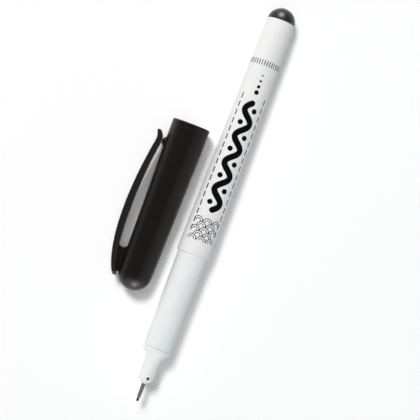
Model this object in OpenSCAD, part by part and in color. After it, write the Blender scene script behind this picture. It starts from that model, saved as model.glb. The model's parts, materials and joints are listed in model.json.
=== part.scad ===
// Fabric marker with its cap off, lying on a table. Lengths are in mm.
// The pen lies along X with its nib towards -X. The cap lies beside it, at +Y, with its clip outwards.
// Z is up and the table is at z = 0. The origin is under the middle of the whole assembly's box.

/* [Tip] */
// Length of nib in front of the sleeve
nib_reach = 1.15; // [0.6:0.05:2]
// Diameter of the nib
nib_d = 0.75; // [0.5:0.05:0.9]
// Radius of the nib's edge
nib_edge = 0.25; // [0.1:0.01:0.25]
// Length of sleeve in front of the tip holder
sleeve_reach = 4.95; // [3:0.05:7]
// Wall of the sleeve
sleeve_wall = 0.2; // [0.15:0.01:0.3]
// Length of sleeve inside the tip holder
sleeve_hold = 6; // [4:0.1:7]
// Length of the holder's cone in front of the nose
cone_len = 1.5; // [1:0.05:2.5]
// Width of the cone's flat front round the sleeve
cone_rim = 0.26; // [0.15:0.01:0.4]
// Width of the cone's lip, which seats on the front of the nose
cone_lip = 0.36; // [0.2:0.02:0.4]
// Thickness of the lip
lip_t = 0.2; // [0.1:0.02:0.4]
// Length of the holder inside the nose
holder_len = 7.5; // [5.8:0.1:9]
// Wall of the holder under an air groove
groove_wall = 0.35; // [0.2:0.05:0.6]

/* [Front section] */
// Length of the straight nose
nose_len = 5.75; // [4.5:0.05:7]
// Diameter of the nose
nose_d = 5.12; // [4.6:0.02:5.8]
// Wall of the nose
nose_wall = 0.62; // [0.5:0.01:0.75]
// Radius of the nose's rim
rim_r = 0.25; // [0.2:0.05:0.5]
// Width of an air vent in the nose's rim
vent_w = 0.85; // [0.5:0.05:1.1]
// Length of an air vent in the nose's rim
vent_len = 0.95; // [0.7:0.05:1.5]
// Length of the shoulder from the nose to the grip
shoulder_len = 4; // [3:0.1:5.5]
// Length of the grip
grip_len = 32.65; // [25:0.05:42]
// Diameter of the grip at its rear end
grip_d = 9.9; // [9:0.05:11]
// Diameter that the grip loses towards the nose
grip_taper = 0.78; // [0.3:0.02:0.9]
// Wall of the grip at its front end
grip_wall = 0.86; // [0.7:0.02:1.1]
// Height of the bead at the grip's front
bead_h = 0.07; // [0.03:0.01:0.15]
// Depth of the line behind the bead
bead_line = 0.08; // [0.03:0.01:0.12]
// Distance of the cap's snap ring from the barrel
snap_back = 3.4; // [2.6:0.1:4.6]
// Height of the snap ring
snap_h = 0.05; // [0.02:0.01:0.08]
// Distance of the reservoir's stop from the grip's front end
ledge_back = 1.65; // [1:0.05:2.5]
// Height of the reservoir's stop
ledge_h = 0.55; // [0.3:0.05:0.7]
// Length of the spigot inside the barrel
spigot_len = 9; // [6:0.1:12]
// Wall of the spigot
spigot_wall = 0.6; // [0.5:0.02:0.75]

/* [Barrel] */
// Length of the barrel
barrel_len = 79.6; // [65:0.1:95]
// Height of the barrel's front edge over the grip, which stops the cap
stop_step = 0.5; // [0.4:0.02:0.8]
// Diameter that the barrel loses towards the rear
barrel_taper = 1.6; // [1:0.01:1.8]
// Wall of the barrel behind the spigot
barrel_wall = 0.95; // [0.8:0.01:1.1]
// Radius of the barrel's front edge
edge_r = 0.5; // [0.3:0.05:0.8]
// Ribs inside the barrel that hold the reservoir
rib_count = 6; // [4:1:8]
// Width of a rib
rib_w = 0.8; // [0.5:0.05:1.2]

/* [End plug] */
// Height of the plug's dome
dome_h = 4.48; // [3.5:0.02:5.5]
// Distance of the dome's foot from the barrel's side
plug_inset = 0.13; // [0.05:0.01:0.3]
// Length of plug inside the barrel
plug_hold = 7; // [5:0.1:9]
// Depth of the grooves beside the plug's rings
ring_h = 0.12; // [0.05:0.01:0.2]
// Distance of the plug's first ring from the barrel's end
ring_back = 1.85; // [1.4:0.05:2.2]
// Distance between the plug's rings
ring_pitch = 2; // [1.4:0.1:2.4]
// Wall of the plug inside the barrel
plug_wall = 0.9; // [0.6:0.05:1.2]

/* [Ink reservoir] */
// Thickness of the film round the fibre core
film_t = 0.12; // [0.08:0.01:0.2]
// Length of nib inside the fibre core
nib_dip = 4; // [2:0.1:8]
// End play of the reservoir in front of the plug
reservoir_play = 0.3; // [0.1:0.05:0.8]

/* [Cap] */
// Distance of the cap's end from the nib when the cap is on
cap_head = 6.25; // [5.5:0.05:8]
// Wall of the cap at its mouth
cap_wall = 1.08; // [1:0.02:1.4]
// Diameter that the cap loses towards its closed end
cap_taper = 1.52; // [1:0.02:1.7]
// Wall of the cap at its closed end
end_wall = 1.1; // [0.9:0.05:1.4]
// Length of straight bore at the cap's mouth
mouth_land = 6; // [4:0.1:9]
// Distance of the ring line from the cap's mouth
lip_len = 1.6; // [1.2:0.1:2.5]
// Depth of the ring line
line_h = 0.08; // [0.04:0.01:0.12]
// Radius of the edge at the cap's mouth
mouth_edge = 0.25; // [0.1:0.05:0.4]
// Width of the air vent under the clip's tail
air_w = 1.6; // [1:0.1:2]

/* [Inner cap] */
// Wall of the inner cap
liner_wall = 0.8; // [0.6:0.02:0.85]
// Wall of the inner cap's end
liner_end = 0.8; // [0.6:0.05:1.1]
// Length of the ribs behind the inner cap's end
foot_len = 1.2; // [0.8:0.05:1.5]
// Free space in front of the nib when the cap is on
tip_room = 1.1; // [0.6:0.05:1.6]
// Ribs round the inner cap
liner_rib_count = 6; // [4:2:8]
// Width of a rib round the inner cap
liner_rib_w = 0.9; // [0.6:0.05:1.2]
// Length of the ribs round the inner cap
liner_rib_len = 11; // [8:0.1:14]

/* [Clip] */
// Distance of the clip's tail from the cap's closed end
clip_start = 2.8; // [2.2:0.05:3.2]
// Length of the clip with its tail
clip_len = 48.7; // [40:0.1:50]
// Gap between the clip's tail and the cap's side
tail_gap = 0.95; // [0.8:0.05:1.2]
// Thickness of the clip at its tail
tail_t = 1.1; // [0.9:0.05:1.4]
// Length over which the clip rises from its tail
tail_run = 5.2; // [4.5:0.1:6]
// Height that the clip's tail aims for over that length
tail_rise = 3.5; // [3:0.05:4]
// Length of the clip's fixed root
root_len = 10.7; // [9.5:0.1:12]
// Distance of the slot's closed end from the end of the root
slot_back = 0.7; // [0.5:0.05:1]
// Gap between the clip and the cap's side, midway along the clip
clip_gap = 2.8; // [2.3:0.05:3.3]
// Height of the crown that the clip's back bends towards, over a clip of even thickness
crown_h = 2.65; // [2.3:0.01:3]
// Thickness of the clip at its root
clip_t = 1.88; // [1.6:0.02:2.2]
// Thickness of the clip over the bump
tip_t = 1.85; // [1.5:0.05:2.2]
// Length of the clip's free end past the bump
tip_len = 3.25; // [2.9:0.05:3.7]
// Rise of the free end over the clip's back
flick_h = 0.7; // [0.5:0.02:0.9]
// Width of the clip at its root
clip_w = 4.4; // [3.8:0.1:5.2]
// Width of the clip at its free end
clip_tip_w = 3.6; // [3:0.1:3.8]
// Width of the web under the clip's root
web_w = 2.7; // [2:0.1:3.4]
// Height of the bump under the clip's free end
bump_h = 0.88; // [0.7:0.02:1.1]
// Diameter of the bump at its foot
bump_d = 3.4; // [2.8:0.1:3.8]

/* [Layout] */
// Distance between the pen's and the cap's axes
cap_aside = 15; // [13:0.1:22]
// Distance of the cap's mouth from the nib, along the pen
cap_back = 88.7; // [70:0.1:110]

/* [Fits] */
// Radial clearance of pieces that are pressed together
fit = 0.03; // [0.02:0.01:0.05]
// Radial clearance of the reservoir
reservoir_gap = 0.06; // [0.03:0.01:0.1]
// Radial clearance of the cap's mouth round the grip
cap_gap = 0.15; // [0.1:0.01:0.25]
// Radial clearance of the inner cap round the nose
seal_gap = 0.03; // [0.02:0.01:0.05]
// Clearance of the clip at its pivot
pivot_gap = 0.08; // [0.05:0.01:0.12]
// Clearance of the clip over the bump
rest_gap = 0.06; // [0.04:0.01:0.1]

/* [Hidden] */
$fn = 96;
far = 60;

// Stations along the pen, from the nib's point
s_sleeve = nib_reach;
s_cone = s_sleeve + sleeve_reach;
s_nose = s_cone + cone_len;
s_shoulder = s_nose + nose_len;
s_grip = s_shoulder + shoulder_len;
s_barrel = s_grip + grip_len;
s_spigot = s_barrel + spigot_len;
s_plug = s_barrel + barrel_len;
s_seat = s_plug - plug_hold;
pen_len = s_plug + dome_h;

// Radii of the tip
nib_r = nib_d / 2;
sleeve_bore_r = nib_r + fit;
sleeve_r = sleeve_bore_r + sleeve_wall;
cone_r = sleeve_r + cone_rim;
nose_r = nose_d / 2;
nose_bore_r = nose_r - nose_wall;
holder_r = nose_bore_r - fit;
lip_r = holder_r + cone_lip;
groove_r = sleeve_r + fit + groove_wall;

// Radii of the front section
grip_r = grip_d / 2;
grip_front_r = grip_r - grip_taper / 2;
bead_r = grip_front_r + bead_h;
grip_bore_r = grip_front_r - grip_wall;
spigot_r = grip_bore_r + spigot_wall;
s_ledge = s_grip + ledge_back;
ledge_r = grip_bore_r - ledge_h;
s_funnel = s_shoulder + 0.55 * shoulder_len;

// Radii of the barrel and of what it holds
barrel_r = grip_r + stop_step;
rear_r = barrel_r - barrel_taper / 2;
socket_r = spigot_r + fit;
seat_r = rear_r - barrel_wall;
bore_r = min(socket_r - 0.02, barrel_r - barrel_wall);
film_r = min(grip_bore_r, seat_r) - reservoir_gap;
core_r = film_r - film_t;
plug_r = rear_r - plug_inset;
pin_r = seat_r - fit;

// Lie of the pen on the table
s_edge = s_barrel + edge_r;
pen_tilt = atan((barrel_r - rear_r) / (s_plug - s_edge));
pen_z = barrel_r * cos(pen_tilt) + s_edge * sin(pen_tilt);

// Cap, with t measured from its closed end
cap_len = s_barrel + cap_head;
mouth_bore_r = grip_r + cap_gap;
mouth_r = mouth_bore_r + cap_wall;
neck_r = mouth_r - cap_taper / 2;
function cap_r(t) = t < neck_r ? sqrt(max(0, t * (2 * neck_r - t)))
    : mouth_r - (mouth_r - neck_r) * pow((cap_len - t) / (cap_len - neck_r), 1.6);
t_land = cap_len - mouth_land;
bore_slope = grip_taper / 2 / grip_len;
end_bore_r = (mouth_bore_r - bore_slope * (t_land - end_wall)) / (1 - bore_slope);
t_end = end_wall + end_bore_r;
cap_side = [for (i = [0 : 24]) let (t = neck_r + (cap_len - neck_r) * i / 24) [cap_r(t), t]];

// Lie of the cap on the table
cap_tilt = -atan((mouth_r - neck_r) / (cap_len - neck_r));
cap_z = max([for (p = cap_side) p[0] * cos(cap_tilt) + p[1] * sin(cap_tilt)]);

// Inner cap
seal_r = nose_r + seal_gap;
liner_r = seal_r + liner_wall;
chamber_r = holder_r + 0.2;
t_chamber = cap_head - tip_room;
t_liner = t_chamber - liner_end;
t_seal = cap_head + s_nose - 0.4;
t_lip = cap_head + s_shoulder - 0.5;
t_foot = t_liner - foot_len;
t_rib = t_foot + liner_rib_len;
function end_bore(t) = sqrt(pow(end_bore_r, 2) - pow(t_end - t, 2));
function cap_bore(t) = end_bore_r + bore_slope * (t - t_end);

// Curves
function arc(c, r, a0, a1, n) = [for (i = [0 : n]) let (a = a0 + (a1 - a0) * i / n)
    [c[0] + r * cos(a), c[1] + r * sin(a)]];
function bow(a, b, c, n) = [for (i = [1 : n]) let (u = i / n)
    (1 - u) * (1 - u) * a + 2 * u * (1 - u) * b + u * u * c];
function sweep(a, b, c, d, n) = [for (i = [0 : n]) let (u = i / n)
    pow(1 - u, 3) * a + 3 * u * pow(1 - u, 2) * b + 3 * u * u * (1 - u) * c + pow(u, 3) * d];
function height(edge, t) = lookup(t, edge);

// Clip, in the cap's plane: t along the cap, v out from its axis
t_bump = clip_start + clip_len - tip_len;
bump_top = cap_r(t_bump) + bump_h;
tail_in = [clip_start, cap_r(clip_start) + tail_gap];
tail_out = tail_in + [0, tail_t];
heel = [t_bump, bump_top + rest_gap];
flip = heel + [-0.3, tip_t];
t_crown = clip_start + 0.415 * clip_len;
crown = [t_crown, cap_r(t_crown) + clip_gap + clip_t + crown_h];
clip_outer = sweep(tail_out, tail_out + [tail_run, tail_rise], crown, flip, 30);
t_pivot = clip_start + root_len;
pivot = [t_pivot, height(clip_outer, t_pivot) - clip_t / 2];
pivot_r = 0.53 * clip_t;
under = pivot - [0, clip_t / 2];
t_mid = (t_pivot + t_bump) / 2;
belly = [t_mid, 2 * (cap_r(t_mid) + clip_gap) - (under[1] + heel[1]) / 2];
tip_top = heel + [tip_len - 0.55, tip_t + flick_h];
tip_low = heel + [tip_len - 0.33, tip_t - 0.63];
strip = concat(clip_outer,
    bow(flip, flip + [0.43 * tip_len, -0.12], tip_top, 6),
    bow(tip_top, heel + [tip_len + 0.2, tip_t + flick_h - 0.18], tip_low, 6),
    bow(tip_low, heel + [0.36 * tip_len, -0.06], heel, 8),
    bow(heel, belly, under, 20),
    bow(under, tail_in + [2.2, 1], tail_in, 8));
clip_top = max([for (p = strip) p[1]]);
web_start = clip_start + 1.45;
web_end = t_pivot - slot_back;
web_low = neck_r - cap_wall / 2;
web_sunk = 0.5;
slot_low = cap_r(web_end) - 0.05;
slot_high = height(clip_outer, web_end) - clip_t;
slot_r = (slot_high - slot_low) / 2;

// Places of the pen and the cap
width = barrel_r + cap_aside + clip_top;
pen_y = barrel_r - width / 2;
cap_y = pen_y + cap_aside;
nib_x = -pen_len * cos(pen_tilt) / 2;

module pen_pose() {
    translate([nib_x, pen_y, pen_z]) rotate([0, pen_tilt, 0]) children();
}

module cap_pose() {
    translate([nib_x + cap_back - cap_len, cap_y, cap_z]) rotate([0, cap_tilt, 0]) children();
}

// A turned piece along X from a profile of radius and station
module turned(profile) {
    rotate([0, 90, 0]) rotate_extrude() polygon(profile);
}

// Equal pieces round X, the first at +Z
module around(count, turn = 0) {
    for (i = [0 : count - 1]) rotate([turn + 360 * i / count, 0, 0]) children();
}

module barrel() {
    color([0.93, 0.93, 0.92]) pen_pose() difference() {
        turned(concat(
            [[0, s_barrel]],
            arc([barrel_r - edge_r, s_edge], edge_r, -90, 0, 8),
            [[rear_r, s_plug - 0.2], [rear_r - 0.08, s_plug], [0, s_plug]]));
        // Socket for the front section, bore with ribs and seat for the plug
        turned([[0, s_barrel - 1], [socket_r, s_barrel - 1], [socket_r, s_spigot + 0.2], [0, s_spigot + 0.2]]);
        difference() {
            turned([[0, s_spigot], [bore_r, s_spigot], [seat_r, s_seat], [seat_r, s_plug + 1], [0, s_plug + 1]]);
            around(rib_count) translate([s_spigot + 1, -rib_w / 2, film_r + reservoir_gap / 2])
                cube([s_seat - s_spigot - 3, rib_w, 3]);
        }
    }
}

module grip_section() {
    rise = bead_r - nose_r;
    turn = 2 * atan(rise / shoulder_len);
    bend = shoulder_len / sin(turn);
    hollow = 0.8 * bend;
    round = 0.2 * bend;
    snap = s_barrel - snap_back;
    function side(s) = grip_front_r + (grip_r - grip_front_r) * (s - s_grip) / grip_len;
    color([0.92, 0.94, 0.94]) pen_pose() difference() {
        turned(concat(
            [[nose_bore_r, s_nose]],
            arc([nose_r - rim_r, s_nose + rim_r], rim_r, -90, 0, 6),
            arc([nose_r + hollow, s_shoulder], hollow, 180, 180 - turn, 10),
            arc([bead_r - round, s_grip], round, -turn + 12, 0, 6),
            [[bead_r, s_grip + 0.15], [side(s_grip) - bead_line, s_grip + 0.35],
             [side(s_grip) - bead_line, s_grip + 0.6], [side(s_grip + 0.85), s_grip + 0.85],
             [side(snap - 0.7), snap - 0.7], [side(snap) + snap_h, snap - 0.25],
             [side(snap) + snap_h, snap + 0.25], [side(snap + 0.7), snap + 0.7],
             [grip_r, s_barrel - 0.08], [grip_r - 0.06, s_barrel - 0.02], [spigot_r, s_barrel - 0.02],
             [spigot_r, s_spigot - 0.5], [spigot_r - 0.2, s_spigot],
             [grip_bore_r, s_spigot], [grip_bore_r, s_ledge], [ledge_r, s_ledge],
             [nose_bore_r, s_funnel]]));
        // Air vents in the nose's rim, the first almost straight up
        around(2, 16) translate([s_nose - 1, -vent_w / 2, nose_bore_r - 0.1]) cube([1 + vent_len, vent_w, 2]);
    }
}

module tip_holder() {
    color([0.9, 0.89, 0.86]) pen_pose() difference() {
        turned(concat(
            [[sleeve_r + fit, s_cone], [cone_r - 0.1, s_cone], [cone_r, s_cone + 0.1]],
            bow([cone_r, s_cone + 0.1], [cone_r + 0.6, s_cone + 0.6], [lip_r - 0.06, s_nose - lip_t], 8),
            [[lip_r, s_nose - lip_t + 0.06], [lip_r, s_nose - 0.02], [holder_r, s_nose - 0.02],
             [holder_r, s_nose + holder_len - 0.4], [holder_r - 0.25, s_nose + holder_len],
             [nib_r + fit, s_nose + holder_len], [nib_r + fit, s_cone + sleeve_hold + fit],
             [sleeve_r + fit, s_cone + sleeve_hold + fit]]));
        // Air grooves behind the vents
        around(2, 16) translate([s_nose + 0.05, -vent_w / 2, groove_r]) cube([holder_len + 1, vent_w, holder_r]);
    }
}

module tip_sleeve() {
    color([0.55, 0.5, 0.45]) pen_pose() turned([
        [sleeve_bore_r, s_sleeve], [sleeve_r - 0.13, s_sleeve], [sleeve_r - 0.05, s_sleeve + 0.25],
        [sleeve_r, s_sleeve + 0.7], [sleeve_r, s_cone + sleeve_hold], [sleeve_bore_r, s_cone + sleeve_hold]]);
}

module nib() {
    color([0.06, 0.06, 0.06]) pen_pose() turned(concat(
        [[0, 0]],
        arc([nib_r - nib_edge, nib_edge], nib_edge, -90, 0, 6),
        [[nib_r, s_ledge + nib_dip - 0.4], [0.1, s_ledge + nib_dip], [0, s_ledge + nib_dip]]));
}

module ink_core() {
    hole_r = nib_r + fit;
    stop = s_ledge + nib_dip + 0.1;
    color([0.16, 0.16, 0.18]) pen_pose() turned([
        [hole_r, s_ledge + 0.05], [core_r, s_ledge + 0.05], [core_r, s_seat - reservoir_play],
        [0, s_seat - reservoir_play], [0, stop], [0.1 + fit, stop], [hole_r, stop - 0.5]]);
}

module core_film() {
    color([0.85, 0.86, 0.85]) pen_pose() turned([
        [core_r + 0.02, s_ledge + 0.05], [film_r, s_ledge + 0.05],
        [film_r, s_seat - reservoir_play], [core_r + 0.02, s_seat - reservoir_play]]);
}

module end_plug() {
    hollow_r = pin_r - plug_wall;
    neck = pin_r - ring_h;
    function ring(s) = [[neck, s - 0.55], [pin_r, s - 0.25], [pin_r, s + 0.25], [neck, s + 0.55]];
    color([0.07, 0.07, 0.07]) pen_pose() turned(concat(
        [[hollow_r, s_seat], [neck - 0.23, s_seat], [neck, s_seat + 0.5]],
        ring(s_plug - ring_back - ring_pitch),
        ring(s_plug - ring_back),
        [[neck, s_plug + 0.01], [plug_r, s_plug + 0.01]],
        [for (i = [1 : 15]) [plug_r * cos(6 * i), s_plug + 0.01 + (dome_h - 0.01) * sin(6 * i)]],
        [[0, s_plug + dome_h - 2], [hollow_r - 0.6, s_plug + dome_h - 2.6], [hollow_r, s_plug + 0.6]]));
}

// Round space that the clip's knuckle turns in
module pivot_space() {
    translate(pivot) circle(pivot_r + pivot_gap);
}

// Outline of the web that carries the clip's root, with the round end of the slot cut out
module web_outline() {
    difference() {
        polygon([[web_start, web_low], [web_end, web_low], [web_end, slot_high + web_sunk],
            [web_start, height(clip_outer, web_start) - 2 * web_sunk]]);
        translate([web_end + 0.35, slot_low + slot_r]) circle(slot_r);
        pivot_space();
    }
}

module root_outline() {
    difference() {
        intersection() {
            polygon(strip);
            square([t_pivot, far]);
        }
        pivot_space();
    }
}

// Plan of the clip as seen from its outer side
module clip_plan() {
    end = t_bump + tip_len - 0.15;
    corner = clip_tip_w / 2 - 0.3;
    polygon(concat(
        [[clip_start, -clip_w / 2], [t_pivot + 1, -clip_w / 2]],
        arc([end - corner, -0.3], corner, -90, 0, 8),
        arc([end - corner, 0.3], corner, 0, 90, 8),
        [[t_pivot + 1, clip_w / 2], [clip_start, clip_w / 2]]));
}

module cap_shell() {
    bump_r = (bump_d * bump_d / 4 + bump_h * bump_h) / (2 * bump_h);
    air_low = chamber_r + 0.5;
    color([0.11, 0.1, 0.09]) cap_pose() difference() {
        union() {
            turned(concat(
                arc([0, neck_r], neck_r, -90, -3, 20),
                [for (p = cap_side) if (p[1] < cap_len - lip_len - 0.3) p],
                [[cap_r(cap_len - lip_len - 0.2), cap_len - lip_len - 0.2],
                 [cap_r(cap_len - lip_len) - line_h, cap_len - lip_len - 0.05],
                 [cap_r(cap_len - lip_len) - line_h, cap_len - lip_len + 0.05],
                 [cap_r(cap_len - lip_len + 0.2), cap_len - lip_len + 0.2]],
                arc([mouth_r - mouth_edge, cap_len - mouth_edge], mouth_edge, 0, 90, 5),
                [[0, cap_len]]));
            linear_extrude(web_w, center = true) web_outline();
            linear_extrude(clip_w, center = true) root_outline();
            translate([t_bump, bump_top - bump_r, 0]) sphere(bump_r);
        }
        turned(concat(
            arc([0, t_end], end_bore_r, -90, 0, 18),
            [[mouth_bore_r, t_land], [mouth_bore_r, cap_len - 0.3],
             [mouth_bore_r + 0.25, cap_len], [mouth_bore_r + 0.25, cap_len + 1], [0, cap_len + 1]]));
        // Air vent under the clip's tail, into the space behind the inner cap
        translate([clip_start + 0.15, air_low, -air_w / 2]) cube([1.1, tail_in[1] - 0.1 - air_low, air_w]);
    }
}

module inner_cap() {
    color([0.2, 0.19, 0.18]) cap_pose() {
        turned([
            [0, t_liner], [liner_r - 0.6, t_liner], [liner_r, t_liner + 0.6], [liner_r, t_lip - 0.3],
            [liner_r - 0.3, t_lip], [seal_r + 0.25, t_lip], [seal_r, t_lip - 0.4], [seal_r, t_seal],
            [chamber_r, t_seal - 0.6], [chamber_r, t_chamber], [0, t_chamber]]);
        // Ribs that hold it in the cap and keep the air way open
        around(liner_rib_count, 30) rotate([90, 0, 0]) linear_extrude(liner_rib_w, center = true) polygon([
            [t_foot, chamber_r - 0.9], [t_foot, end_bore(t_foot) - fit], [t_end, end_bore_r - fit],
            [t_rib, cap_bore(t_rib) - fit - 0.3], [t_rib, liner_r - 0.2], [t_liner + 0.7, liner_r - 0.2],
            [t_liner + 0.1, chamber_r - 0.9]]);
    }
}

module clip() {
    color([0.11, 0.1, 0.09]) cap_pose() intersection() {
        linear_extrude(clip_w + 1, center = true) intersection() {
            polygon(strip);
            union() {
                translate([t_pivot, 0]) square(far);
                translate(pivot) circle(pivot_r);
            }
        }
        rotate([90, 0, 0]) translate([0, 0, -far]) linear_extrude(far) clip_plan();
    }
}

barrel();
grip_section();
tip_holder();
tip_sleeve();
nib();
ink_core();
core_film();
end_plug();
cap_shell();
inner_cap();
clip();
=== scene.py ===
"""Looks of a fabric marker that lies with its cap off: meshes, print, finishes, light and camera."""

import json
import math

import bmesh
import bpy
import numpy as np
from mathutils import Matrix, Vector


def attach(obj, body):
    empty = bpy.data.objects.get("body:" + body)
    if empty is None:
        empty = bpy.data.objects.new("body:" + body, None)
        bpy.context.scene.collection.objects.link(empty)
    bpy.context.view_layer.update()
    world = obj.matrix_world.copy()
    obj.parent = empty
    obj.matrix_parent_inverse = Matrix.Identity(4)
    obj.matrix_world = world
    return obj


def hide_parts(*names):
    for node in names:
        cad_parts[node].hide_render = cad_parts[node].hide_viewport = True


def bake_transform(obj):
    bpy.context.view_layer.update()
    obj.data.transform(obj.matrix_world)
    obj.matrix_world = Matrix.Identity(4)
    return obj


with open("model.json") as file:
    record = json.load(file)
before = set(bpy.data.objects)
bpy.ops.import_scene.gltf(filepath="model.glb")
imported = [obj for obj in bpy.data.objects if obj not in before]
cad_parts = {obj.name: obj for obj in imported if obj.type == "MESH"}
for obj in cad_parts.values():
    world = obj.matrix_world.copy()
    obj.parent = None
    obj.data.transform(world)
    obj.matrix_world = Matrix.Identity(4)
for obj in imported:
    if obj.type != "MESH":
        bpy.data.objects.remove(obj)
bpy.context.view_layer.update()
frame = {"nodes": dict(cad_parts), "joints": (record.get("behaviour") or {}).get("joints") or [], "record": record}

MM = 0.001

# The photograph's frame in pixels: its size, and where the pen's two ends are in it
IMAGE = 420
NIB_PIXEL = Vector((137.27, 400.59))
END_PIXEL = Vector((285.96, 8.91))

# The camera's height in metres and its sensor in millimetres
CAMERA_HEIGHT = 0.388
SENSOR = 36

# What counts as one place, as no length and as on an axis, in millimetres, and as straight, in degrees
CUT_NEAR = 5e-4
PRINT_NEAR = 1e-5
NO_LENGTH = 1e-9
NO_SQUARE = 1e-12
AXIS_NEAR = 0.01
POLE_NEAR = 1e-3
STRAIGHT = 0.2

# Faces round a turned piece, and round the bump
SEGMENTS = 144
BUMP_SEGMENTS = 48

# Rounded edges: sizes in millimetres, angles past which they are rounded, and steps in each
PLASTIC_EDGE = 0.1
FINE_EDGE = 0.03
CLIP_EDGE = 0.32
VENT_EDGE = 0.12
CORNER_ANGLE = 24
CORNER_SHARE = 0.42
CORNER_STEPS = 4
CLIP_EDGE_ANGLE = 50
CLIP_EDGE_STEPS = 4
BLOCK_EDGE_STEPS = 3
ROUND_PROFILE = 0.5

# Shading: more points along straight stretches, in millimetres, and sharp edges, in degrees
BRACE_MARGIN = 0.12
BRACE_STRIDE = 3
CLIP_STRIDE = 0.8
SHARP_ANGLE = 32
CLIP_SHARP_ANGLE = 40
NORMAL_WEIGHT = 80

# Air vents in the nose's rim, in millimetres and degrees, with their middle as a share of its radius
VENT_WIDTH = 0.85
VENT_LENGTH = 0.95
VENT_TURN = 16
VENT_MIDDLE = 1.22

# The dark behind the vents, painted shade together with the ink inside: its place in millimetres and its colour
VENT_DARK_BACK = 0.06
VENT_DARK_DEPTH = 0.12
VENT_SHADE_AND_INK = (0.01, 0.009, 0.009)

# Line behind the grip's bead, in millimetres: station from the nose's front, slopes, floor and depth
LINE_BACK = 9.9
LINE_FALL = 0.22
LINE_FLAT = 0.2
LINE_RISE = 0.4
LINE_DEPTH = 0.34
LINE_INSIDE = 4

# Cap, in millimetres: roots of web and bump, what counts as off its shell, and the air vent's slot
WEB_SUNK = 0.4
OFF_SHELL = 0.06
BUMP_NEAR = 0.05
AIR_START = 2.95
AIR_LENGTH = 1.1
AIR_WIDTH = 1.6
AIR_FLOOR = 2.6
AIR_DEPTH = 3

# Ring line near the cap's mouth, in millimetres: where it is, and how much of it is filled
RING_BACK = 1.6
RING_NEAR = 0.1
RING_WALL = 0.4
RING_LIFT = 0.017

# Clip: room round its knuckle as a share, stations of its width, and how far short of its end the last one lies,
# in millimetres
KNUCKLE_ROOM = 1.12
WIDTH_STATIONS = 40
WIDTH_END = 1e-3

# Slopes at the end of the clip's tail and the block that cuts them, in millimetres and degrees
TAIL_CUT = 1
TAIL_SLOPE = 40
TAIL_TOOL = 6

# Finishes: how much the clip's colour is lightened, which paints a sheen on its flat faces, and the span of noise
# that a finish follows
CLIP_SHEEN_LIFT = 0.007
GRAIN_SPAN = (0.3, 0.7)

# Print on the barrel: how it lies, in millimetres and degrees, with stations from the nib's point
INK_LIFT = 0.018
INK_SUNK = 0.012
INK_STEP = 0.35
PRINT_TURN = 8
PRINT_FROM = 53
PRINT_TO = 118
PRINT_STATIONS = 12
RAY_HEIGHT = 20

# The print's motifs, in millimetres along and round the barrel
WAVE_FROM = 65.5
WAVE_LENGTH = 9
WAVE_COUNT = 4
WAVE_RISE = 1.7
WAVE_INK = 1.95
BEAD_R = 0.85
BEAD_OFF = 1.6
STITCH_FROM = 57.5
STITCH_PITCH = 2.8
STITCH_LENGTH = 1.5
STITCH_INK = 0.42
STITCH_COUNT = 17
STITCH_OFF = 4.3
SCALE_FROM = 55
SCALE_R = 1.5
SCALE_RINGS = (0.94, 0.5)
SCALE_ROWS = 5
SCALE_INK = 0.24
TRAIL_FROM = 105.2
TRAIL_PITCH = 1.9
TRAIL_RADII = (0.75, 0.55, 0.4, 0.28)
TICK_FROM = 114.2
TICK_LENGTH = 1.5
TICK_INK = 0.3
TICK_PITCH = 0.9
TICK_COUNT = 17

# Steps in a wave, a dot, a scale and the round ends of strokes
WAVE_STEPS = 28
DISC_SIDES = 28
SCALE_STEPS = 16
END_STEPS = 6
FINE_END_STEPS = 4

# Light: places and sizes in metres, and how bright each lamp makes a white surface that faces it
WORLD_LEVELS = (0, 0.22)
KEY_PLACE = (0.87, 0.72, 1.84)
KEY_SIZE = (0.6, 0.6)
KEY_LEVEL = 0.79
TOP_PLACE = (0, -0.05, 1)
TOP_SIZE = (0.5, 0.3)
TOP_LEVEL = 0.2
FILL_PLACE = (-0.42, -0.45, 0.045)
FILL_SIZE = (0.6, 0.07)
FILL_LEVEL = 0.23
FILL_COLOUR = (0.75, 0.98, 1)
FRONT_PLACE = (-0.5, -0.03, 0.22)
FRONT_SIZE = (0.96, 0.4)
FRONT_LEVEL = 0.68
GLINT_PLACE = (-0.55, -0.15, 0.08)
GLINT_SIZE = (0.24, 0.34)
GLINT_LEVEL = 0.96
GLINT_COLOUR = (0.83, 0.9, 1)
BACK_PLACE = (0.55, 0.15, 0.34)
BACK_SIZE = (0.33, 0.34)
BACK_LEVEL = 1.0
SIDE_PLACE = (0.1, 0.6, 0.1)
SIDE_SIZE = (0.6, 0.1)
SIDE_LEVEL = 0.032
SHEEN_PLACE = (0, -0.5, 0.27)
SHEEN_SIZE = (0.6, 0.54)
SHEEN_LEVEL = 0.18
AHEAD_PLACE = (-0.65, 0.05, 0.04)
AHEAD_SIZE = (0.4, 0.07)
AHEAD_LEVEL = 0.31

# The floor's half width and drop in metres, its paint and its glow
FLOOR_SIZE = 2.5
FLOOR_DROP = 0.00002
FLOOR_PAINT = 0.98
FLOOR_GLOW = 0.02


# Axes of the pen and the cap

def axis_frame(point, along):
    """Matrix from an axis's own millimetres to the frame: x along the axis, y towards +Y, z up."""
    along = Vector(along).normalized()
    up = along.cross(Vector((0, 1, 0))).normalized()
    side = up.cross(along)
    turn = Matrix((along, side, up)).transposed().to_4x4()
    return Matrix.Translation(point) @ turn @ Matrix.Scale(MM, 4)


def local_points(node, axis):
    """A CAD node's vertices in an axis's millimetres."""
    back = axis.inverted()
    return np.array([back @ vertex.co for vertex in frame["nodes"][node].data.vertices])


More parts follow.
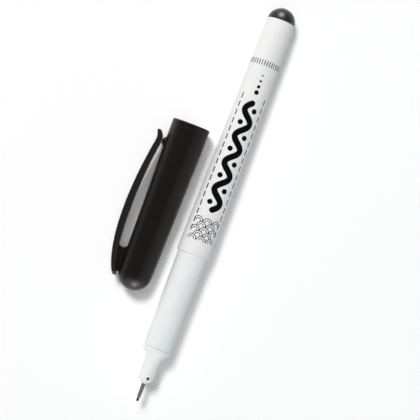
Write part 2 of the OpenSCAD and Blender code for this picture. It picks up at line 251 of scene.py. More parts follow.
mounts = {mount["name"]: mount for mount in frame["record"]["mounts"]}
joints = {joint["name"]: joint for joint in frame["joints"]}
pen_axis = axis_frame(mounts["nose"]["pos_m"], -Vector(mounts["nose"]["axis"]))
pen_axis @= Matrix.Translation((local_points("nib", pen_axis)[:, 0].min(), 0, 0))
cap_axis = axis_frame(mounts["cap_mouth"]["pos_m"], mounts["cap_mouth"]["axis"])
cap_axis @= Matrix.Translation((local_points("cap_shell", cap_axis)[:, 0].min(), 0, 0))


# Outlines, taken from sections of the CAD nodes

def chains(edges):
    """Joins edges end to end into ordered runs of points."""
    near = {}
    for edge in edges:
        a, b = edge.verts
        near.setdefault(a, []).append(b)
        near.setdefault(b, []).append(a)
    ends = [vertex for vertex in near if len(near[vertex]) == 1]
    runs = []
    seen = set()
    for start in ends + list(near):
        if start in seen:
            continue
        run = [start]
        seen.add(start)
        step = next((vertex for vertex in near[start] if vertex not in seen), None)
        while step is not None:
            run.append(step)
            seen.add(step)
            step = next((vertex for vertex in near[step] if vertex not in seen), None)
        runs.append([vertex.co.copy() for vertex in run])
    return [run for run in runs if len(run) > 2]


def section(node, axis, point, normal, keep=None):
    """Runs of points where a plane in an axis's millimetres cuts a CAD node. keep picks the points."""
    cut = bmesh.new()
    cut.from_mesh(frame["nodes"][node].data)
    bmesh.ops.transform(cut, matrix=axis.inverted(), verts=cut.verts)
    bmesh.ops.remove_doubles(cut, verts=cut.verts, dist=CUT_NEAR)
    everything = cut.verts[:] + cut.edges[:] + cut.faces[:]
    found = bmesh.ops.bisect_plane(cut, geom=everything, plane_co=point, plane_no=normal, dist=CUT_NEAR)
    edges = [item for item in found["geom_cut"] if isinstance(item, bmesh.types.BMEdge)]
    if keep:
        edges = [edge for edge in edges if all(keep(vertex.co) for vertex in edge.verts)]
    runs = chains(edges)
    cut.free()
    return runs


def turn_at(before, here, after):
    """Degrees by which an outline turns at a point."""
    a = here - before
    b = after - here
    return math.degrees(a.angle(b)) if min(a.length, b.length) > NO_LENGTH else 0


def thin_out(points, closed):
    """Drops the points that lie on straight stretches."""
    kept = []
    count = len(points)
    for i, here in enumerate(points):
        at_end = not closed and i in (0, count - 1)
        if at_end or turn_at(points[i - 1], here, points[(i + 1) % count]) > STRAIGHT:
            kept.append(here)
    return kept


def soften(points, closed, radius):
    """Rounds each sharp corner with an arc of about the radius."""
    made = []
    count = len(points)
    for i, here in enumerate(points):
        before = points[i - 1]
        after = points[(i + 1) % count]
        turn = turn_at(before, here, after)
        if (not closed and i in (0, count - 1)) or turn < CORNER_ANGLE:
            made.append(here)
            continue
        room = CORNER_SHARE * min((here - before).length, (after - here).length)
        back = min(radius * math.tan(math.radians(turn) / 2), room)
        first = here + (before - here).normalized() * back
        last = here + (after - here).normalized() * back
        for k in range(CORNER_STEPS + 1):
            u = k / CORNER_STEPS
            made.append(first * (1 - u) ** 2 + here * 2 * u * (1 - u) + last * u * u)
    return made


def brace(points, closed, stride=BRACE_STRIDE):
    """Adds points near the ends of long stretches and along them, so that shading stays even."""
    made = []
    count = len(points)
    for i in range(count if closed else count - 1):
        here = points[i]
        after = points[(i + 1) % count]
        length = (after - here).length
        made.append(here)
        if length > 4 * BRACE_MARGIN:
            middle = length - 2 * BRACE_MARGIN
            inner = max(1, math.ceil(middle / stride))
            places = [BRACE_MARGIN + middle * k / inner for k in range(inner + 1)]
            made += [here.lerp(after, place / length) for place in places]
    if not closed:
        made.append(points[-1])
    return made


def outline_below(node, axis):
    """A turned node's outline on the side that faces the table, as points of station and radius."""
    runs = section(node, axis, (0, 0, 0), (0, 1, 0), keep=lambda co: co.z < CUT_NEAR)
    run = max(runs, key=len)
    points = [Vector((co.x, max(0, -co.z))) for co in run]
    closed = max(points[0].y, points[-1].y) > AXIS_NEAR
    return thin_out(points, closed), closed


# Meshes

def piece(name, mesh, axis):
    """A new smooth piece from a bmesh that is in an axis's millimetres."""
    bmesh.ops.recalc_face_normals(mesh, faces=mesh.faces)
    bmesh.ops.transform(mesh, matrix=axis, verts=mesh.verts)
    data = bpy.data.meshes.new(name)
    mesh.to_mesh(data)
    mesh.free()
    data.polygons.foreach_set("use_smooth", [True] * len(data.polygons))
    made = bpy.data.objects.new(name, data)
    bpy.context.scene.collection.objects.link(made)
    return made


def turned(points, closed, segments=SEGMENTS):
    """A bmesh turned round x from points of station and radius."""
    mesh = bmesh.new()
    rings = []
    for point in points:
        if point.y < POLE_NEAR:
            rings.append([mesh.verts.new((point.x, 0, 0))])
            continue
        ring = []
        for k in range(segments):
            angle = 2 * math.pi * k / segments
            ring.append(mesh.verts.new((point.x, point.y * math.sin(angle), point.y * math.cos(angle))))
        rings.append(ring)
    pairs = list(zip(rings, rings[1:]))
    if closed:
        pairs.append((rings[-1], rings[0]))
    for a, b in pairs:
        for k in range(segments):
            after = (k + 1) % segments
            corners = [a[k % len(a)], a[after % len(a)], b[after % len(b)], b[k % len(b)]]
            unique = list(dict.fromkeys(corners))
            if len(unique) > 2:
                mesh.faces.new(unique)
    return mesh


def turned_like(node, axis, edge, change=None):
    """A bmesh turned from a CAD node's own outline, with rounded corners. change alters the outline."""
    points, closed = outline_below(node, axis)
    if change:
        points = change(points)
    return turned(brace(soften(points, closed, edge), closed), closed)


def prism(points, half_width):
    """A bmesh of an outline in x and y, as thick as two half widths along z."""
    mesh = bmesh.new()
    low = [mesh.verts.new((point.x, point.y, -half_width)) for point in points]
    high = [mesh.verts.new((point.x, point.y, half_width)) for point in points]
    mesh.faces.new(low[::-1])
    mesh.faces.new(high)
    for k in range(len(points)):
        after = (k + 1) % len(points)
        mesh.faces.new((low[k], low[after], high[after], high[k]))
    return mesh


def rounded_block(matrix, edge):
    """A bmesh of a unit cube that a matrix sizes and places, with rounded edges."""
    mesh = bmesh.new()
    bmesh.ops.create_cube(mesh, size=1)
    bmesh.ops.transform(mesh, matrix=matrix, verts=mesh.verts)
    bmesh.ops.bevel(mesh, geom=mesh.edges[:], offset=edge, segments=BLOCK_EDGE_STEPS, affect="EDGES",
                    profile=ROUND_PROFILE)
    return mesh


def applied(target, kind, **settings):
    """Adds a modifier to a piece and bakes it into the mesh."""
    modifier = target.modifiers.new(kind.title(), kind)
    for name, value in settings.items():
        setattr(modifier, name, value)
    graph = bpy.context.evaluated_depsgraph_get()
    baked = bpy.data.meshes.new_from_object(target.evaluated_get(graph))
    target.modifiers.clear()
    target.data = baked


def combined(target, tool, how):
    """Joins a tool piece to a target, or cuts it out, and removes the tool."""
    applied(target, "BOOLEAN", object=tool, operation=how, solver="EXACT")
    bpy.data.objects.remove(tool)


def evened(target, angle=SHARP_ANGLE):
    """Smooth shading with sharp edges past an angle, and normals that follow the large faces."""
    target.data.set_sharp_from_angle(angle=math.radians(angle))
    applied(target, "WEIGHTED_NORMAL", keep_sharp=True, weight=NORMAL_WEIGHT)


def carry(made, body, slot, *nodes):
    """Rides a piece on a body and hides the nodes that it stands for. slot is not used."""
    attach(made, body)
    if nodes:
        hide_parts(*nodes)


# Finishes

def add_node(tree, kind, inputs=None, operation=None):
    """Adds a shader node and gives back its outputs. inputs are numbers, or outputs to link."""
    made = tree.nodes.new("ShaderNode" + kind)
    if operation:
        made.operation = operation
    for key, value in (inputs or {}).items():
        if isinstance(value, bpy.types.NodeSocket):
            tree.links.new(value, made.inputs[key])
        else:
            made.inputs[key].default_value = value
    return made.outputs


class Finish:
    """A material with grains mixed into its colour, roughness and relief."""

    def __init__(self, name, **sockets):
        self.made = bpy.data.materials.new(name)
        self.made.use_nodes = True
        self.tree = self.made.node_tree
        self.shader = self.tree.nodes["Principled BSDF"]
        self.place = add_node(self.tree, "TexCoord")["Object"]
        for socket, value in sockets.items():
            self.shader.inputs[socket.replace("_", " ")].default_value = value

    def drive(self, socket, output):
        """Links an output to one of the shader's sockets."""
        self.tree.links.new(output, self.shader.inputs[socket])

    def grain(self, size_mm, detail=2, stretch=(1, 1, 1)):
        """Noise with features of about a size, drawn out by the stretch."""
        scale = [1 / (size_mm * MM * share) for share in stretch]
        place = add_node(self.tree, "Mapping", {"Vector": self.place, "Scale": scale})["Vector"]
        return add_node(self.tree, "TexNoise", {"Vector": place, "Scale": 1, "Detail": detail})["Fac"]

    def vary(self, socket, grain, low, high):
        """A number that follows a grain."""
        first, last = GRAIN_SPAN
        span = {"Value": grain, "From Min": first, "From Max": last, "To Min": low, "To Max": high}
        self.drive(socket, add_node(self.tree, "MapRange", span)["Result"])

    def tint(self, grain, dark, light):
        """A colour that follows a grain."""
        ramp = self.tree.nodes.new("ShaderNodeValToRGB")
        for element, position, colour in zip(ramp.color_ramp.elements, GRAIN_SPAN, (dark, light)):
            element.position = position
            element.color = (*colour, 1)
        self.tree.links.new(grain, ramp.inputs["Fac"])
        self.drive("Base Color", ramp.outputs["Color"])

    def relief(self, grain, height_mm, strength):
        """Bumps that follow a grain."""
        bump = {"Height": grain, "Strength": strength, "Distance": height_mm * MM}
        self.drive("Normal", add_node(self.tree, "Bump", bump)["Normal"])
        return self

    def shade_and_ink(self, start, radius):
        """Dark colour behind a point and within a radius of its axis: painted shade, with ink, inside an air vent.
        """
        offset = add_node(self.tree, "VectorMath", {0: self.place, 1: start}, "SUBTRACT")["Vector"]
        along = add_node(self.tree, "SeparateXYZ", {"Vector": offset})["X"]
        across = add_node(self.tree, "VectorMath", {0: offset, 1: (0, 1, 1)}, "MULTIPLY")["Vector"]
        length = add_node(self.tree, "VectorMath", {0: across}, "LENGTH")["Value"]
        near = add_node(self.tree, "Math", {0: length, 1: radius}, "LESS_THAN")["Value"]
        behind = add_node(self.tree, "Math", {0: along, 1: 0}, "GREATER_THAN")["Value"]
        both = add_node(self.tree, "Math", {0: near, 1: behind}, "MULTIPLY")["Value"]
        plain = self.shader.inputs["Base Color"].links[0].from_socket
        # This dark colour paints the shade inside the vents, along with the ink there.
        colours = {"Fac": both, "Color1": plain, "Color2": (*VENT_SHADE_AND_INK, 1)}
        self.drive("Base Color", add_node(self.tree, "MixRGB", colours)["Color"])
        return self

    def on(self, target):
        """Puts the finish on a piece or a CAD node."""
        target.data.materials.clear()
        target.data.materials.append(self.made)


def barrel_finish():
    """White plastic, satin."""
    made = Finish("barrel_plastic", IOR=1.47, Specular_IOR_Level=0.35)
    made.tint(made.grain(size_mm=6, detail=3), dark=(0.815, 0.815, 0.81), light=(0.84, 0.84, 0.835))
    made.vary("Roughness", made.grain(size_mm=1.2, detail=4), low=0.42, high=0.5)
    return made.relief(made.grain(size_mm=0.25), height_mm=0.006, strength=0.25)


def grip_finish():
    """White plastic that lets a little light in."""
    made = Finish("grip_plastic", IOR=1.5, Specular_IOR_Level=0.2,
                  Subsurface_Weight=0.12, Subsurface_Scale=0.0008)
    made.tint(made.grain(size_mm=5, detail=3), dark=(0.805, 0.82, 0.82), light=(0.83, 0.845, 0.845))
    made.vary("Roughness", made.grain(size_mm=0.9, detail=4), low=0.44, high=0.52)
    return made.relief(made.grain(size_mm=0.3), height_mm=0.004, strength=0.2)


def holder_finish():
    """Warm white plastic with a gloss."""
    made = Finish("holder_plastic", IOR=1.5)
    made.tint(made.grain(size_mm=0.8, detail=3), dark=(0.85, 0.83, 0.79), light=(0.89, 0.87, 0.84))
    made.vary("Roughness", made.grain(size_mm=0.5, detail=3), low=0.2, high=0.3)
    return made.relief(made.grain(size_mm=0.15), height_mm=0.003, strength=0.2)


def sleeve_finish():
    """Drawn metal with lines along it."""
    made = Finish("drawn_metal", Metallic=0.35)
    lines = made.grain(size_mm=0.09, detail=4, stretch=(14, 1, 1))
    streaks = made.grain(size_mm=0.35, detail=3, stretch=(3, 1, 1))
    made.tint(streaks, dark=(0.145, 0.11, 0.088), light=(0.23, 0.183, 0.152))
    made.vary("Roughness", lines, low=0.38, high=0.52)
    return made.relief(lines, height_mm=0.004, strength=0.5)


def nib_finish():
    """Fibres soaked with ink."""
    made = Finish("inked_fibre", Specular_IOR_Level=0.08)
    fibres = made.grain(size_mm=0.05, detail=3, stretch=(10, 1, 1))
    made.tint(fibres, dark=(0.001, 0.001, 0.001), light=(0.005, 0.0045, 0.0045))
    made.vary("Roughness", fibres, low=0.45, high=0.75)
    return made.relief(fibres, height_mm=0.01, strength=0.6)


def plug_finish():
    """Near-black plastic with a soft gloss."""
    made = Finish("plug_plastic", IOR=1.5, Specular_IOR_Level=0.55)
    made.tint(made.grain(size_mm=2, detail=3), dark=(0.014, 0.012, 0.0145), light=(0.021, 0.018, 0.0215))
    made.vary("Roughness", made.grain(size_mm=0.8, detail=4), low=0.31, high=0.39)
    return made.relief(made.grain(size_mm=0.2), height_mm=0.004, strength=0.25)


def cap_finish(name, sheen_lift=0):
    """The cap's plastic. The second argument lightens its colour, which paints a sheen, as on the clip."""
    made = Finish(name, Specular_IOR_Level=0.35, Specular_Tint=(1, 0.92, 0.88, 1))
    # The lighter colour is a painted sheen.
    dark = [part + sheen_lift for part in (0.003, 0.0016, 0.0008)]
    light = [part + sheen_lift for part in (0.0042, 0.0025, 0.0014)]
    made.tint(made.grain(size_mm=3, detail=3), dark, light)
    made.vary("Roughness", made.grain(size_mm=0.7, detail=4), low=0.36, high=0.43)
    return made.relief(made.grain(size_mm=0.16), height_mm=0.01, strength=0.35)


def liner_finish():
    """Dark plastic of the inner cap."""
    made = Finish("liner_plastic")
    made.tint(made.grain(size_mm=2, detail=3), dark=(0.014, 0.013, 0.012), light=(0.022, 0.02, 0.018))
    made.vary("Roughness", made.grain(size_mm=0.6, detail=3), low=0.42, high=0.55)
    return made.relief(made.grain(size_mm=0.2), height_mm=0.006, strength=0.3)


def core_finish():
    """Inked fibres along the reservoir."""
    made = Finish("core_fibre")
    fibres = made.grain(size_mm=0.12, detail=4, stretch=(30, 1, 1))
    made.tint(fibres, dark=(0.008, 0.008, 0.011), light=(0.05, 0.05, 0.06))
    made.vary("Roughness", fibres, low=0.7, high=0.95)
    return made.relief(fibres, height_mm=0.04, strength=0.7)


def film_finish():
    """Creased film."""
    made = Finish("core_film")
    creases = made.grain(size_mm=1.5, detail=3, stretch=(4, 1, 1))
    made.tint(creases, dark=(0.62, 0.64, 0.64), light=(0.72, 0.74, 0.74))
    made.vary("Roughness", creases, low=0.1, high=0.2)
    return made.relief(creases, height_mm=0.02, strength=0.3)


def ink_finish():
    """Dull black ink."""
    made = Finish("printed_ink", Specular_IOR_Level=0.06)
    specks = made.grain(size_mm=0.5, detail=3)
    made.tint(specks, dark=(0.001, 0.001, 0.001), light=(0.0025, 0.0025, 0.0025))
    made.vary("Roughness", made.grain(size_mm=0.3, detail=3), low=0.7, high=0.85)
    return made.relief(made.grain(size_mm=0.08), height_mm=0.003, strength=0.4)


# Pen

def make_turned(name, node, slot, finish, edge):
    """A piece of the pen that is turned like its CAD node."""
    made = piece(name, turned_like(node, pen_axis, edge), pen_axis)
    finish.on(made)
    carry(made, "pen", slot, node)
    return made


def draw_stroke(mesh, points, width, end_steps=END_STEPS):
    """A flat stroke of ink along points, with round ends."""
    half = width / 2
    count = len(points)
    pairs = []
    for i, here in enumerate(points):
        ahead = (points[min(i + 1, count - 1)] - points[max(i - 1, 0)]).normalized() * half
        side = Vector((-ahead.y, ahead.x))
        pairs.append([mesh.verts.new((*(here + side), 0)), mesh.verts.new((*(here - side), 0))])
        if i in (0, count - 1):
            outward = ahead if i else -ahead
            turns = [math.pi * (k / end_steps - 0.5) for k in range(1, end_steps)]
            sides = side if i else -side
            rim = [here + outward * math.cos(turn) - sides * math.sin(turn) for turn in turns]
            ends = pairs[-1] if i else pairs[-1][::-1]
            mesh.faces.new([ends[0], *(mesh.verts.new((*point, 0)) for point in rim), ends[1]])
    for a, b in zip(pairs, pairs[1:]):
        mesh.faces.new((a[0], a[1], b[1], b[0]))


def draw_disc(mesh, x, y, radius):
    """A flat round dot of ink."""
    turns = [2 * math.pi * k / DISC_SIDES for k in range(DISC_SIDES)]
    rim = [(x + radius * math.cos(turn), y + radius * math.sin(turn), 0) for turn in turns]
    mesh.faces.new([mesh.verts.new(point) for point in rim])


def draw_wave(mesh):
    """A bold wavy trim with a bead in each hollow."""
    points = []
    for k in range(WAVE_COUNT * WAVE_STEPS + 1):
        waves = k / WAVE_STEPS
        rise = WAVE_RISE * math.sin(2 * math.pi * waves)
        points.append(Vector((WAVE_FROM + waves * WAVE_LENGTH, rise)))
    draw_stroke(mesh, points, WAVE_INK)
    for k in range(2 * WAVE_COUNT):
        hollow = -1 if k % 2 == 0 else 1
        draw_disc(mesh, WAVE_FROM + WAVE_LENGTH * (k / 2 + 0.25), hollow * BEAD_OFF, BEAD_R)


def draw_stitches(mesh):
    """A line of running stitches on either side of the wave."""
    for off in (-STITCH_OFF, STITCH_OFF):
        for k in range(STITCH_COUNT):
            x = STITCH_FROM + k * STITCH_PITCH
            draw_stroke(mesh, [Vector((x, off)), Vector((x + STITCH_LENGTH, off))], STITCH_INK)


def draw_scales(mesh):
    """Rows of scallops in fine lines ahead of the wave."""
    turns = [math.pi * (k / SCALE_STEPS - 0.5) for k in range(SCALE_STEPS + 1)]
    for row in range(SCALE_ROWS):
        columns = (-1, 0, 1) if row % 2 == 0 else (-0.5, 0.5)
        for column in columns:
            centre = Vector((SCALE_FROM + row * SCALE_R, column * 2 * SCALE_R))
            for share in SCALE_RINGS:
                radius = SCALE_R * share
                arc = [centre + radius * Vector((math.cos(turn), math.sin(turn))) for turn in turns]
                draw_stroke(mesh, arc, SCALE_INK, FINE_END_STEPS)


def draw_tail(mesh):
    """Dots that shrink behind the wave, and a ring of ticks near the barrel's rear end."""
    for k, radius in enumerate(TRAIL_RADII):
        draw_disc(mesh, TRAIL_FROM + k * TRAIL_PITCH, 0, radius)
    for k in range(TICK_COUNT):
        y = (k - (TICK_COUNT - 1) / 2) * TICK_PITCH
        tick = [Vector((TICK_FROM, y)), Vector((TICK_FROM + TICK_LENGTH, y))]
        draw_stroke(mesh, tick, TICK_INK, FINE_END_STEPS)


def barrel_radii(barrel):
    """Stations along the print and the barrel's radius at each."""
    stations = np.linspace(PRINT_FROM, PRINT_TO, PRINT_STATIONS)
    radii = []
    for station in stations:
        above = pen_axis @ Vector((station, 0, RAY_HEIGHT))
        inward = (pen_axis @ Vector((station, 0, 0)) - above).normalized()
        _, place, _, _ = barrel.ray_cast(above, inward)
        radii.append((pen_axis.inverted() @ place).z)
    return stations, radii


def make_print(barrel):
    """Ink as thin closed skins that lie on the barrel's cone."""
    mesh = bmesh.new()
    draw_wave(mesh)
    draw_stitches(mesh)
    draw_scales(mesh)
    draw_tail(mesh)
    reach = max(abs(vertex.co.y) for vertex in mesh.verts)
    steps = int(reach / INK_STEP)
    for k in range(-steps, steps + 1):
        everything = mesh.verts[:] + mesh.edges[:] + mesh.faces[:]
        level = (0, k * INK_STEP, 0)
        bmesh.ops.bisect_plane(mesh, geom=everything, plane_co=level, plane_no=(0, 1, 0), dist=PRINT_NEAR)
    sunk = set(mesh.verts)
    bmesh.ops.extrude_face_region(mesh, geom=mesh.faces[:], use_keep_orig=True)
    stations, radii = barrel_radii(barrel)
    middle = np.interp((PRINT_FROM + PRINT_TO) / 2, stations, radii)
    for vertex in mesh.verts:
        station, arc, _ = vertex.co
        radius = np.interp(station, stations, radii) + (-INK_SUNK if vertex in sunk else INK_LIFT)
        turn = math.radians(PRINT_TURN) + arc / middle
        vertex.co = (station, -radius * math.sin(turn), radius * math.cos(turn))
    made = piece("barrel_print", mesh, pen_axis)
    evened(made)
    ink_finish().on(made)
    carry(made, "pen", "ink_black")


def nose_front():
    """Where the nose starts, as a station on the pen."""
    return local_points("grip_section", pen_axis)[:, 0].min()


def vent_shaded_and_inked(finish):
    """A finish that is dark behind the nose's vents: painted shade, with ink."""
    start = pen_axis @ Vector((nose_front() + VENT_DARK_BACK, 0, 0))
    return finish.shade_and_ink(start, (mounts["nose"]["dims"]["r_mm"] - VENT_DARK_DEPTH) * MM)


def deep_line(points):
    """The grip's outline with a deeper line behind its bead."""
    rear = points.index(max(points, key=lambda point: point.x))
    points = points[rear:] + points[:rear]
    start = nose_front() + LINE_BACK
    low = start + LINE_FALL
    high = low + LINE_FLAT
    end = high + LINE_RISE
    old = [point for point in points if start + CUT_NEAR < point.x < end and point.y > LINE_INSIDE]
    radius = max(point.y for point in old)
    floor = radius - LINE_DEPTH
    new = [Vector((end, radius)), Vector((high, floor)), Vector((low, floor))]
    if old[0].x < old[-1].x:
        new.reverse()
    first = points.index(old[0])
    return points[:first] + new + points[first + len(old):]


def make_grip():
    """The grip and nose, with two air vents in the nose's rim."""
    made = piece("grip_body", turned_like("grip_section", pen_axis, FINE_EDGE, deep_line), pen_axis)
    nose_r = mounts["nose"]["dims"]["r_mm"]
    size = Matrix.Diagonal((2 * VENT_LENGTH, VENT_WIDTH, nose_r, 1))
    place = Matrix.Translation((nose_front(), 0, nose_r * VENT_MIDDLE))
    for turn in (VENT_TURN, VENT_TURN + 180):
        matrix = Matrix.Rotation(math.radians(turn), 4, "X") @ place @ size
        combined(made, piece("vent_tool", rounded_block(matrix, VENT_EDGE), pen_axis), "DIFFERENCE")
    evened(made)
    # The grip's finish carries painted shade, with ink, behind its vents.
    vent_shaded_and_inked(grip_finish()).on(made)
    carry(made, "pen", "grip_white", "grip_section")


# Cap, with x along it from its closed end and y out towards the clip

def clip_pivot():
    """The clip's pivot in the cap's plane, and how far the room round its knuckle reaches."""
    pivot = cap_axis.inverted() @ Vector(joints["clip_flex"]["pos_m"])
    knuckle = pivot.x - local_points("clip", cap_axis)[:, 0].min()
    return Vector((pivot.x, pivot.y)), knuckle * KNUCKLE_ROOM


def clip_outline():
    """The clip's side view with its root, as one closed run of points."""
    pivot, reach = clip_pivot()
    free = section("clip", cap_axis, (0, 0, 0), (0, 0, 1))[0]
    side = local_points("clip", cap_axis)[:, 2].max() - 2 * PLASTIC_EDGE
    runs = section("cap_shell", cap_axis, (0, 0, side), (0, 0, 1))
    root = max(runs, key=lambda run: min(co.y for co in run))
    joined = []
    for run in (root, free):
        points = [Vector((co.x, co.y)) for co in run]
        near = [(point - pivot).length < reach for point in points]
        first = next(i for i in range(len(points)) if near[i - 1] and not near[i])
        points = points[first:] + points[:first]
        points = [point for point in points if (point - pivot).length >= reach]
        if joined and (points[0] - joined[-1]).length > (points[-1] - joined[-1]).length:
            points.reverse()
        joined += points
    return thin_out(joined, True)


def clip_half_widths():
    """Stations along the clip, closer towards its free end, and its half width at each."""
    points = local_points("clip", cap_axis)
    first, last = points[:, 0].min(), points[:, 0].max()
    shares = [1 - (1 - k / WIDTH_STATIONS) ** 2 for k in range(1, WIDTH_STATIONS)]
    stations = [first + (last - first) * share for share in shares] + [last - WIDTH_END]
    widths = []
    for station in stations:
        runs = section("clip", cap_axis, (station, 0, 0), (1, 0, 0))
        across = [abs(co.z) for run in runs for co in run]
        widths.append(max(across, default=widths[-1] if widths else 0))
    return stations, widths


def tail_tool(tail, half, side):
    """A block that slopes the end of the clip's tail on one side."""
    mesh = bmesh.new()
    bmesh.ops.create_cube(mesh, size=TAIL_TOOL)
    slope = -TAIL_SLOPE if side > 0 else 180 + TAIL_SLOPE
    place = Matrix.Translation((tail.x + TAIL_CUT, tail.y, side * half))
    turn = Matrix.Rotation(math.radians(slope), 4, "Y")
    matrix = place @ turn @ Matrix.Translation((0, 0, TAIL_TOOL / 2))
    bmesh.ops.transform(mesh, matrix=matrix, verts=mesh.verts)
    return piece("tail_tool", mesh, cap_axis)


def make_clip(finish):
    """The clip with its root as one strip."""
    stations, widths = clip_half_widths()
    half = max(widths)
    points = clip_outline()
    made = piece("pocket_clip", prism(brace(points, True, CLIP_STRIDE), half), cap_axis)
    applied(made, "BEVEL", width=CLIP_EDGE * MM, segments=CLIP_EDGE_STEPS, limit_method="ANGLE",
            angle_limit=math.radians(CLIP_EDGE_ANGLE))
    back = cap_axis.inverted()
    for vertex in made.data.vertices:
        place = back @ vertex.co
        place.z *= np.interp(place.x, stations, widths) / half
        vertex.co = cap_axis @ place
    tail = min(points, key=lambda point: point.x)
    for side in (1, -1):
        combined(made, tail_tool(tail, half, side), "DIFFERENCE")
    evened(made, CLIP_SHARP_ANGLE)
    finish.on(made)
    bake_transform(made)
    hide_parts("clip")


def off_run(point, run):
    """How far a point lies from a closed run of points."""
    gaps = []
    for a, b in zip(run, run[1:] + run[:1]):
        along = b - a
        share = (point - a).dot(along) / max(along.length_squared, NO_SQUARE)
        gaps.append((a + along * max(0, min(1, share)) - point).length)
    return min(gaps)


def cap_middle(shell, clip_run):
    """Points of the cap's middle section that belong to neither its shell nor the clip."""
    runs = section("cap_shell", cap_axis, (0, 0, 0), (0, 0, 1), keep=lambda co: co.y > 0)
    points = [Vector((co.x, co.y)) for run in runs for co in run]
    return [point for point in points if min(off_run(point, shell), off_run(point, clip_run)) > OFF_SHELL]


def web_mesh(middle, clip_run):
    """The web between the cap and the clip's root, with the round end of the slot."""
    pivot, reach = clip_pivot()
    slot = [point for point in middle if point.x < pivot.x and (point - pivot).length > reach]
    slot.sort(key=lambda point: point.y)
    tail = min(clip_run, key=lambda point: (round(point.x, 2), point.y))
    level = (slot[0].y + tail.y) / 2
    runs = section("cap_shell", cap_axis, (0, level, 0), (0, 1, 0))
    foot = min(runs, key=lambda run: min(co.x for co in run))
    start = min(co.x for co in foot)
    half = max(co.z for co in foot)
    low = slot[0].y - WEB_SUNK
    points = [Vector((start, low)), Vector((slot[0].x, low)), *slot, slot[-1] + Vector((0, WEB_SUNK)),
              Vector((start, tail.y + 2 * WEB_SUNK))]
    return prism(points, half)


def bump_mesh(middle):
    """The bump under the clip's free end, turned about a line across the cap."""
    pivot, _ = clip_pivot()
    dome = sorted((point for point in middle if point.x > pivot.x), key=lambda point: point.x)
    centre = (dome[0].x + dome[-1].x) / 2
    top = Vector((max(point.y for point in dome), 0))
    side = [Vector((point.y, point.x - centre)) for point in dome if point.x - centre > BUMP_NEAR]
    root = side[-1].x - WEB_SUNK
    outline = [top, *side, Vector((root, side[-1].y)), Vector((root, 0))]
    mesh = turned(thin_out(outline, False), False, BUMP_SEGMENTS)
    turn = Matrix.Translation((centre, 0, 0)) @ Matrix.Rotation(math.pi / 2, 4, "Z")
    bmesh.ops.transform(mesh, matrix=turn, verts=mesh.verts)
    return mesh


def air_slot_mesh():
    """The air vent's slot under the clip's tail."""
    size = Matrix.Diagonal((AIR_LENGTH, AIR_DEPTH, AIR_WIDTH, 1))
    place = Matrix.Translation((AIR_START + AIR_LENGTH / 2, AIR_FLOOR + AIR_DEPTH / 2, 0))
    return rounded_block(place @ size, PLASTIC_EDGE)


def shallow_ring(points):
    """The cap's outline with less depth in the ring line near its mouth."""
    line = max(point.x for point in points) - RING_BACK
    wall = mounts["cap_mouth"]["dims"]["r_mm"] + RING_WALL
    made = []
    for point in points:
        on_line = abs(point.x - line) < RING_NEAR and point.y > wall
        made.append(point + Vector((0, RING_LIFT)) if on_line else point)
    return made


def make_cap(finish):
    """The cap's shell joined with its web and bump, less the air vent's slot."""
    made = piece("cap_tube", turned_like("cap_shell", cap_axis, FINE_EDGE, shallow_ring), cap_axis)
    clip_run = clip_outline()
    middle = cap_middle(outline_below("cap_shell", cap_axis)[0], clip_run)
    combined(made, piece("web_tool", web_mesh(middle, clip_run), cap_axis), "UNION")
    combined(made, piece("bump_tool", bump_mesh(middle), cap_axis), "UNION")
    combined(made, piece("air_tool", air_slot_mesh(), cap_axis), "DIFFERENCE")
    evened(made)
    finish.on(made)
    carry(made, "cap", "cap_black", "cap_shell")


# Stage

def make_floor():
    """A white floor that takes the shadows. It glows a little in the picture and in reflections."""
    mesh = bmesh.new()
    bmesh.ops.create_grid(mesh, x_segments=1, y_segments=1, size=FLOOR_SIZE)
    made = piece("floor", mesh, Matrix.Translation((0, 0, -FLOOR_DROP)))
    paint = bpy.data.materials.new("floor_white")
    paint.use_nodes = True
    tree = paint.node_tree
    tree.nodes.clear()
    path = add_node(tree, "LightPath")
    seen = path["Is Camera Ray"]
    for ray in ("Is Glossy Ray", "Is Transmission Ray"):
        seen = add_node(tree, "Math", {0: seen, 1: path[ray]}, "MAXIMUM")["Value"]
    level = add_node(tree, "Math", {0: seen, 1: FLOOR_GLOW}, "MULTIPLY")["Value"]
    glow = add_node(tree, "Emission", {"Strength": level})["Emission"]
    colour = (FLOOR_PAINT, FLOOR_PAINT, FLOOR_PAINT, 1)
    diffuse = add_node(tree, "BsdfDiffuse", {"Color": colour})["BSDF"]
    both = add_node(tree, "AddShader", {0: diffuse, 1: glow})["Shader"]
    add_node(tree, "OutputMaterial", {"Surface": both})
    made.data.materials.append(paint)


def make_world(low, high):
    """A white room, dimmer towards -Y and brighter towards +Y."""
    world = bpy.data.worlds.new("studio")
    world.use_nodes = True
    tree = world.node_tree
    way = add_node(tree, "TexCoord")["Generated"]
    across = add_node(tree, "SeparateXYZ", {"Vector": way})["Y"]
    span = {"Value": across, "From Min": -1, "To Min": low, "To Max": high}
    level = add_node(tree, "MapRange", span)["Result"]
    background = tree.nodes["Background"]
    background.inputs["Color"].default_value = (1, 1, 1, 1)
    tree.links.new(level, background.inputs["Strength"])
    bpy.context.scene.world = world


def make_lamp(name, place, size, level, colour=(1, 1, 1), lights=True, shines=True):
    """A soft lamp aimed at the object, for diffuse light (lights), for reflections (shines) or both."""
    lamp = bpy.data.lights.new(name, "AREA")
    lamp.shape = "RECTANGLE"
    lamp.size, lamp.size_y = size
    lamp.energy = level * math.pi ** 2 * Vector(place).length_squared
    lamp.color = colour
    made = bpy.data.objects.new(name, lamp)
    made.location = place
    made.rotation_euler = (-Vector(place)).to_track_quat("-Z", "Y").to_euler()
    made.visible_camera = False
    made.visible_diffuse = lights
    made.visible_glossy = shines
    bpy.context.scene.collection.objects.link(made)


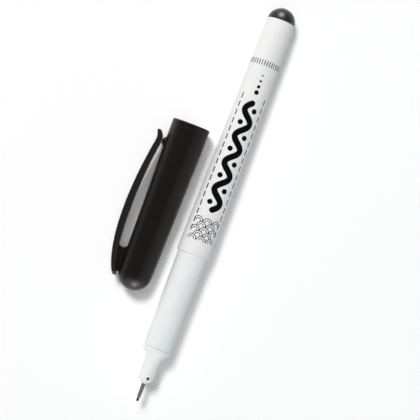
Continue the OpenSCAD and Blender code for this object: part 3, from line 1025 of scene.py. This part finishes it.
def make_camera():
    """A camera straight above, turned and placed so that the pen's ends fall on their pixels."""
    nib = pen_axis @ Vector((0, 0, 0))
    end = pen_axis @ Vector((local_points("end_plug", pen_axis)[:, 0].max(), 0, 0))
    span = END_PIXEL - NIB_PIXEL
    turn = math.atan2(-span.y, span.x)
    pixel = (end - nib).length / span.length
    ahead = (Vector((IMAGE / 2, IMAGE / 2)) - NIB_PIXEL) * pixel
    right = Vector((math.cos(turn), -math.sin(turn), 0))
    up = Vector((math.sin(turn), math.cos(turn), 0))
    centre = nib + right * ahead.x - up * ahead.y
    camera = bpy.data.cameras.new("camera")
    camera.sensor_width = SENSOR
    camera.lens = SENSOR * (CAMERA_HEIGHT - (nib.z + end.z) / 2) / (IMAGE * pixel)
    made = bpy.data.objects.new("camera", camera)
    made.location = (centre.x, centre.y, CAMERA_HEIGHT)
    made.rotation_euler = (0, 0, -turn)
    bpy.context.scene.collection.objects.link(made)
    bpy.context.scene.camera = made


# The object's pieces
make_print(make_turned("barrel_tube", "barrel", "barrel_white", barrel_finish(), PLASTIC_EDGE))
make_grip()
make_turned("end_cap", "end_plug", "plug_black", plug_finish(), FINE_EDGE)
make_turned("sleeve_tube", "tip_sleeve", "sleeve_metal", sleeve_finish(), FINE_EDGE)
make_turned("nib_rod", "nib", "ink_black", nib_finish(), FINE_EDGE)
# The holder's finish carries painted shade, with ink, behind the vents.
vent_shaded_and_inked(holder_finish()).on(frame["nodes"]["tip_holder"])
core_finish().on(frame["nodes"]["ink_core"])
film_finish().on(frame["nodes"]["core_film"])
liner_finish().on(frame["nodes"]["inner_cap"])
# The clip's finish is lightened, a painted sheen on its flat faces.
make_clip(cap_finish("clip_plastic", CLIP_SHEEN_LIFT))
make_cap(cap_finish("cap_plastic"))

# Floor, light and camera
make_floor()
make_world(*WORLD_LEVELS)
make_lamp("key", KEY_PLACE, KEY_SIZE, KEY_LEVEL, shines=False)
make_lamp("top", TOP_PLACE, TOP_SIZE, TOP_LEVEL, shines=False)
make_lamp("fill", FILL_PLACE, FILL_SIZE, FILL_LEVEL, FILL_COLOUR)
make_lamp("front", FRONT_PLACE, FRONT_SIZE, FRONT_LEVEL, lights=False)
make_lamp("glint", GLINT_PLACE, GLINT_SIZE, GLINT_LEVEL, GLINT_COLOUR, lights=False)
make_lamp("back", BACK_PLACE, BACK_SIZE, BACK_LEVEL, lights=False)
make_lamp("side", SIDE_PLACE, SIDE_SIZE, SIDE_LEVEL, lights=False)
make_lamp("sheen", SHEEN_PLACE, SHEEN_SIZE, SHEEN_LEVEL, lights=False)
make_lamp("ahead", AHEAD_PLACE, AHEAD_SIZE, AHEAD_LEVEL, shines=False)
make_camera()
bpy.context.scene.view_settings.view_transform = "Standard"
